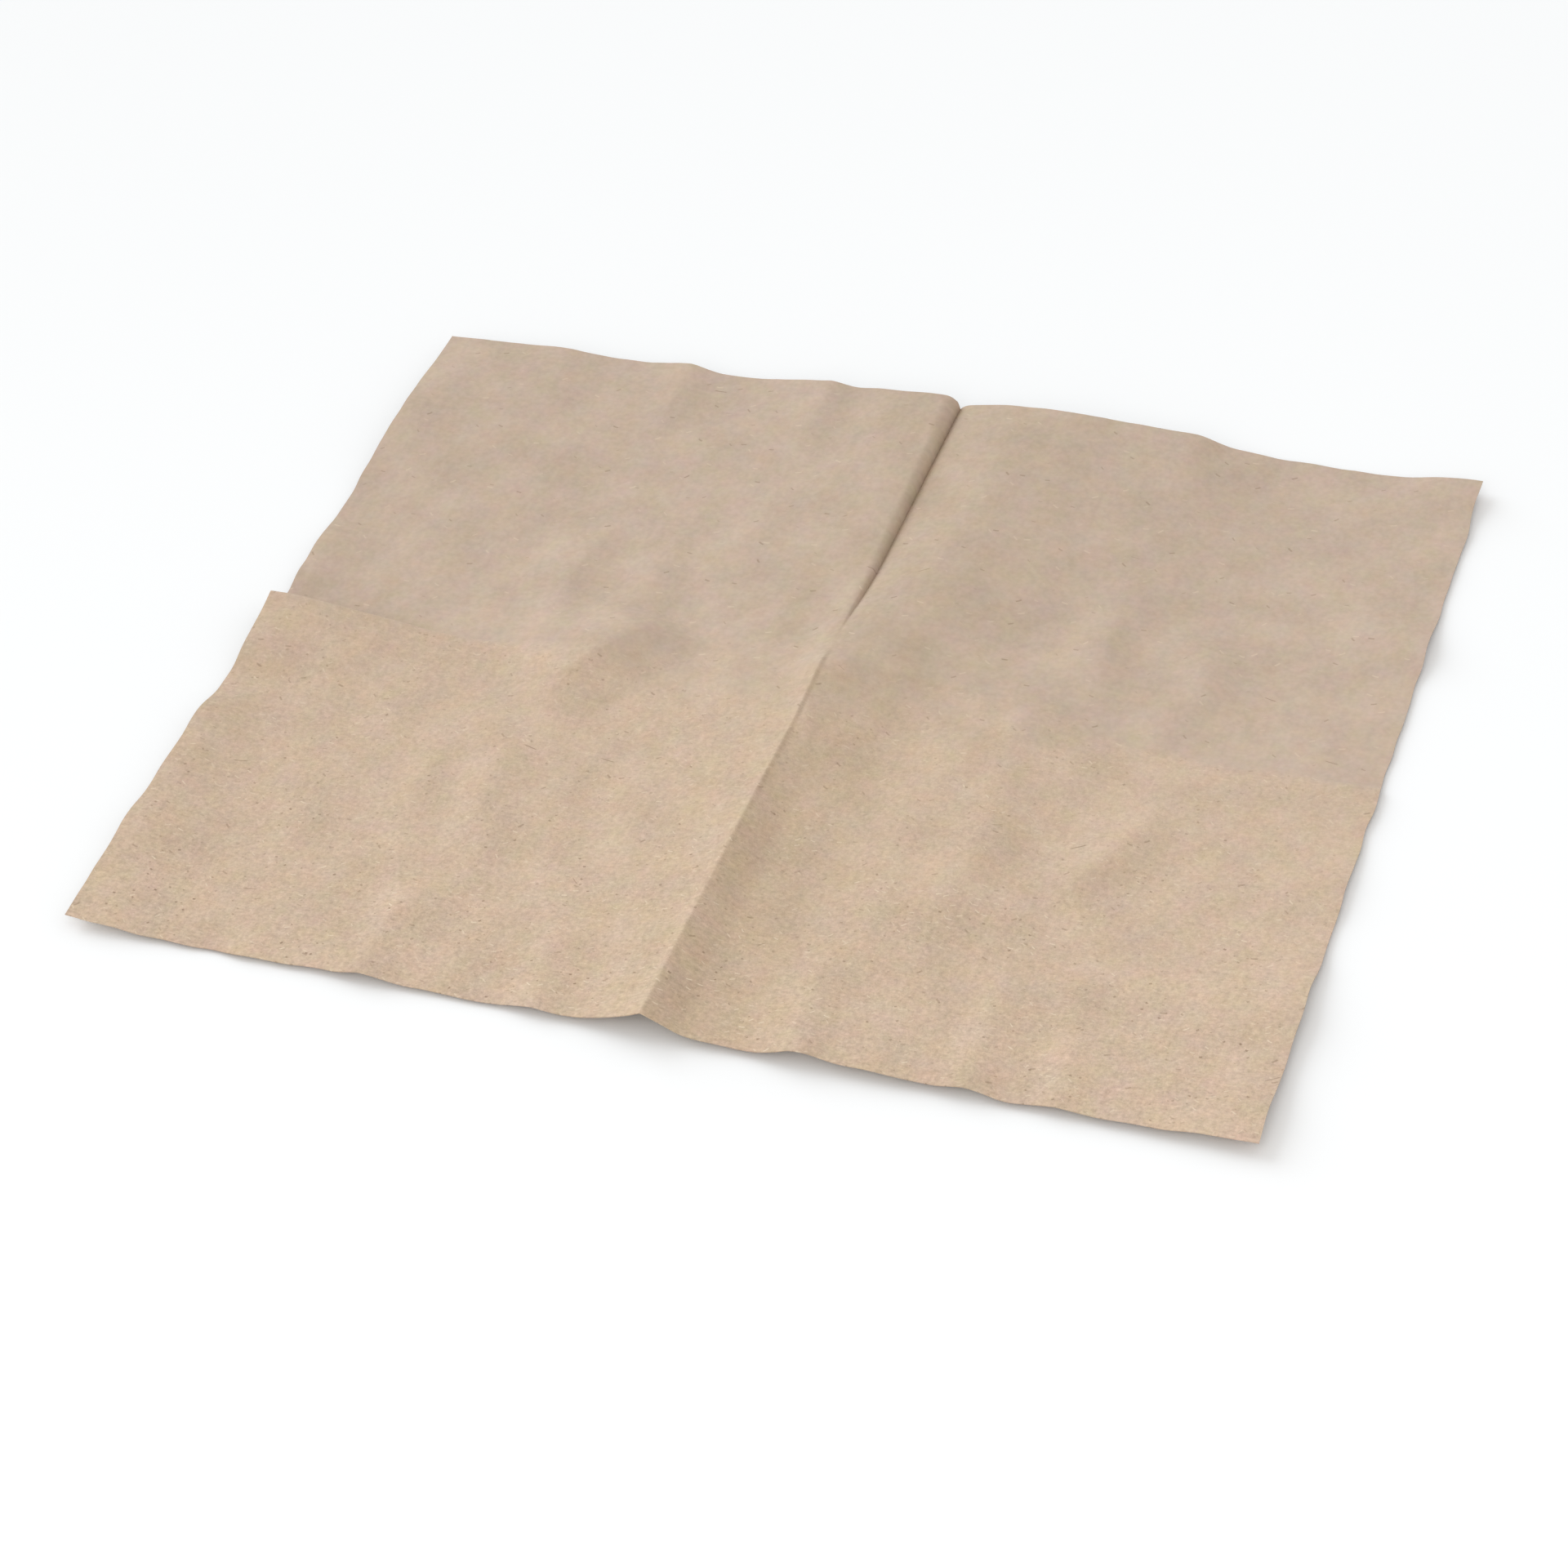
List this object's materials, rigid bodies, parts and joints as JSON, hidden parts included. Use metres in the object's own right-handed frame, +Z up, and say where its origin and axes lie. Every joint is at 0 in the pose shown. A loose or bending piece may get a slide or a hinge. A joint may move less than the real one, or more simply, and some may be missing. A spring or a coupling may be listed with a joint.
{
  "type": "paper napkin",
  "caption": "Plain unbleached paper napkin laid open from its folds, with a sharp front-to-back crease and a soft cross fold.",
  "frame": {"origin": "on the table under the middle of the open sheet", "axes": "+X to the right along the long front edge, +Y towards the back edge, +Z up from the table"},
  "size_m": [0.3, 0.25, 0.0069],
  "materials": {
    "paper": "matte creped"
  },
  "bodies": {
    "root": {"napkin": "paper"}
  },
  "joints": []
}
